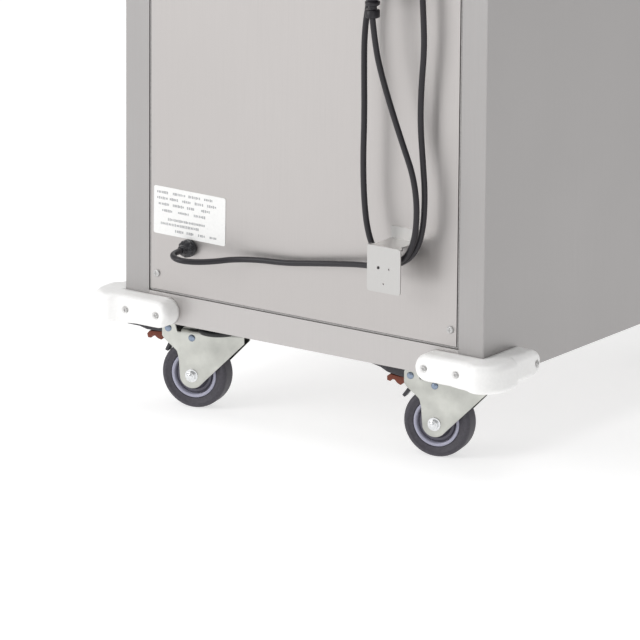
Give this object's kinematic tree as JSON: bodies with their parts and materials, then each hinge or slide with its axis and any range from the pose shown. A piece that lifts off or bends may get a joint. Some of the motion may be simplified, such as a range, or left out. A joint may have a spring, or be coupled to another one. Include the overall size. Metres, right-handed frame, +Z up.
{
  "type": "food holding cabinet",
  "caption": "Tall insulated stainless cabinet that keeps trays of food hot, with a hinged door, corner bumpers, cord hooks and swivel casters.",
  "frame": {"origin": "on the floor under the middle of the cabinet", "axes": "+Z up, -Y out of the door, +Y out of the rear with the cord hooks, +X the cabinet's right side seen from the front"},
  "size_m": [0.706, 0.948, 1.68],
  "materials": {
    "stainless_side": "fine vertical brushed grain",
    "stainless_rear": "fine brushed grain",
    "stainless_door": "fine vertical brushed grain",
    "stainless_inner": "mill finish, slightly brighter",
    "hook_sheet": "pale satin sheet",
    "wool": "mineral wool and foam",
    "zinc_plate": "zinc plated, satin",
    "bright_bolt": "bright zinc",
    "black_rubber": "satin",
    "cord_sheath": "soft PVC sheen",
    "white_bumper": "smooth moulded",
    "label_film": "printed film",
    "hub_grey": "moulded nylon",
    "tread_rubber": "moulded elastomer",
    "pedal_black": "satin black",
    "cam_red": "moulded nylon",
    "control_black": "moulded",
    "lamp_lens": "translucent lens",
    "chrome_trim": "bright",
    "needle_red": "satin",
    "element_steel": "heat tinted",
    "motor_paint": "satin",
    "strap_cloth": "woven hook and loop"
  },
  "bodies": {
    "cabinet": {"side_panel_left": "stainless_side", "side_panel_right": "stainless_side", "top_panel": "stainless_side", "base_pan": "stainless_side", "rear_cover": "stainless_rear", "front_frame": "stainless_rear", "inner_liner": "stainless_inner", "wall_insulation": "wool", "tray_racks": "stainless_inner", "water_pan": "stainless_inner", "heating_element": "element_steel", "fan_motor": "motor_paint", "control_fascia": "stainless_door", "thermostat": "control_black", "switch_frame": "control_black", "indicator_lamps": "lamp_lens", "thermometer_case": "chrome_trim", "hinge_fixed_leaves": "chrome_trim", "push_handles": "chrome_trim", "cable_gland": "black_rubber", "cord_hooks": "hook_sheet", "rating_plate": "label_film", "corner_bumpers": "white_bumper", "pan_head_screws": "bright_bolt", "power_cord": "cord_sheath", "plug": "cord_sheath", "tie_strap": "strap_cloth", "caster_bearers": "zinc_plate", "caster_bolts": "zinc_plate", "caster_plates": "zinc_plate"},
    "door": {"door_skin": "stainless_door", "door_insulation": "wool", "door_liner": "stainless_door", "door_gasket": "black_rubber", "hinge_door_leaves": "chrome_trim", "door_handle": "chrome_trim"},
    "fan": {"fan_rotor": "element_steel"},
    "knob": {"thermostat_knob": "control_black"},
    "rocker": {"switch_rocker": "control_black"},
    "needle": {"thermometer_needle": "needle_red"},
    "caster_rear_left": {"caster_fork_rear_left": "zinc_plate", "axle_bolt_rear_left": "bright_bolt"},
    "wheel_rear_left": {"wheel_hub_rear_left": "hub_grey", "wheel_tyre_rear_left": "tread_rubber"},
    "pedal_rear_left": {"brake_pedal_rear_left": "pedal_black", "brake_cam_rear_left": "cam_red"},
    "caster_rear_right": {"caster_fork_rear_right": "zinc_plate", "axle_bolt_rear_right": "bright_bolt"},
    "wheel_rear_right": {"wheel_hub_rear_right": "hub_grey", "wheel_tyre_rear_right": "tread_rubber"},
    "pedal_rear_right": {"brake_pedal_rear_right": "pedal_black", "brake_cam_rear_right": "cam_red"},
    "caster_front_left": {"caster_fork_front_left": "zinc_plate", "axle_bolt_front_left": "bright_bolt"},
    "wheel_front_left": {"wheel_hub_front_left": "hub_grey", "wheel_tyre_front_left": "tread_rubber"},
    "caster_front_right": {"caster_fork_front_right": "zinc_plate", "axle_bolt_front_right": "bright_bolt"},
    "wheel_front_right": {"wheel_hub_front_right": "hub_grey", "wheel_tyre_front_right": "tread_rubber"}
  },
  "joints": [
    {"name": "door_hinge", "type": "hinge", "parent": "cabinet", "child": "door", "pos_m": [0.319, -0.43, 0.7], "axis": [0, 0, 1], "range_deg": [0, 180]},
    {"name": "fan_spin", "type": "hinge", "parent": "cabinet", "child": "fan", "pos_m": [0, 0, 1.478], "axis": [0, 0, 1], "continuous": true},
    {"name": "knob_turn", "type": "hinge", "parent": "cabinet", "child": "knob", "pos_m": [0.15, -0.392, 1.582], "axis": [0, -1, 0], "range_deg": [-270, 0]},
    {"name": "rocker_tilt", "type": "hinge", "parent": "cabinet", "child": "rocker", "pos_m": [-0.04, -0.3905, 1.582], "axis": [1, 0, 0], "range_deg": [0, 14]},
    {"name": "needle_turn", "type": "hinge", "parent": "cabinet", "child": "needle", "pos_m": [-0.17, -0.392, 1.584], "axis": [0, 1, 0], "range_deg": [-20, 220]},
    {"name": "swivel_rear_left", "type": "hinge", "parent": "cabinet", "child": "caster_rear_left", "pos_m": [0.206, 0.333, 0.117], "axis": [0, 0, 1], "continuous": true},
    {"name": "roll_rear_left", "type": "hinge", "parent": "caster_rear_left", "child": "wheel_rear_left", "pos_m": [0.23815, 0.34042, 0.05], "axis": [-0.225, 0.9744, 0], "continuous": true},
    {"name": "pedal_rear_left", "type": "hinge", "parent": "caster_rear_left", "child": "pedal_rear_left", "pos_m": [0.27421, 0.34875, 0.117], "axis": [-0.225, 0.9744, 0], "range_deg": [-10.7, 0]},
    {"name": "swivel_rear_right", "type": "hinge", "parent": "cabinet", "child": "caster_rear_right", "pos_m": [-0.216, 0.3305, 0.117], "axis": [0, 0, 1], "continuous": true},
    {"name": "roll_rear_right", "type": "hinge", "parent": "caster_rear_right", "child": "wheel_rear_right", "pos_m": [-0.18385, 0.33792, 0.05], "axis": [-0.225, 0.9744, 0], "continuous": true},
    {"name": "pedal_rear_right", "type": "hinge", "parent": "caster_rear_right", "child": "pedal_rear_right", "pos_m": [-0.14779, 0.34625, 0.117], "axis": [-0.225, 0.9744, 0], "range_deg": [0, 10.7]},
    {"name": "swivel_front_left", "type": "hinge", "parent": "cabinet", "child": "caster_front_left", "pos_m": [0.206, -0.302, 0.117], "axis": [0, 0, 1], "continuous": true},
    {"name": "roll_front_left", "type": "hinge", "parent": "caster_front_left", "child": "wheel_front_left", "pos_m": [0.23815, -0.29458, 0.05], "axis": [-0.225, 0.9744, 0], "continuous": true},
    {"name": "swivel_front_right", "type": "hinge", "parent": "cabinet", "child": "caster_front_right", "pos_m": [-0.206, -0.302, 0.117], "axis": [0, 0, 1], "continuous": true},
    {"name": "roll_front_right", "type": "hinge", "parent": "caster_front_right", "child": "wheel_front_right", "pos_m": [-0.17385, -0.29458, 0.05], "axis": [-0.225, 0.9744, 0], "continuous": true}
  ]
}
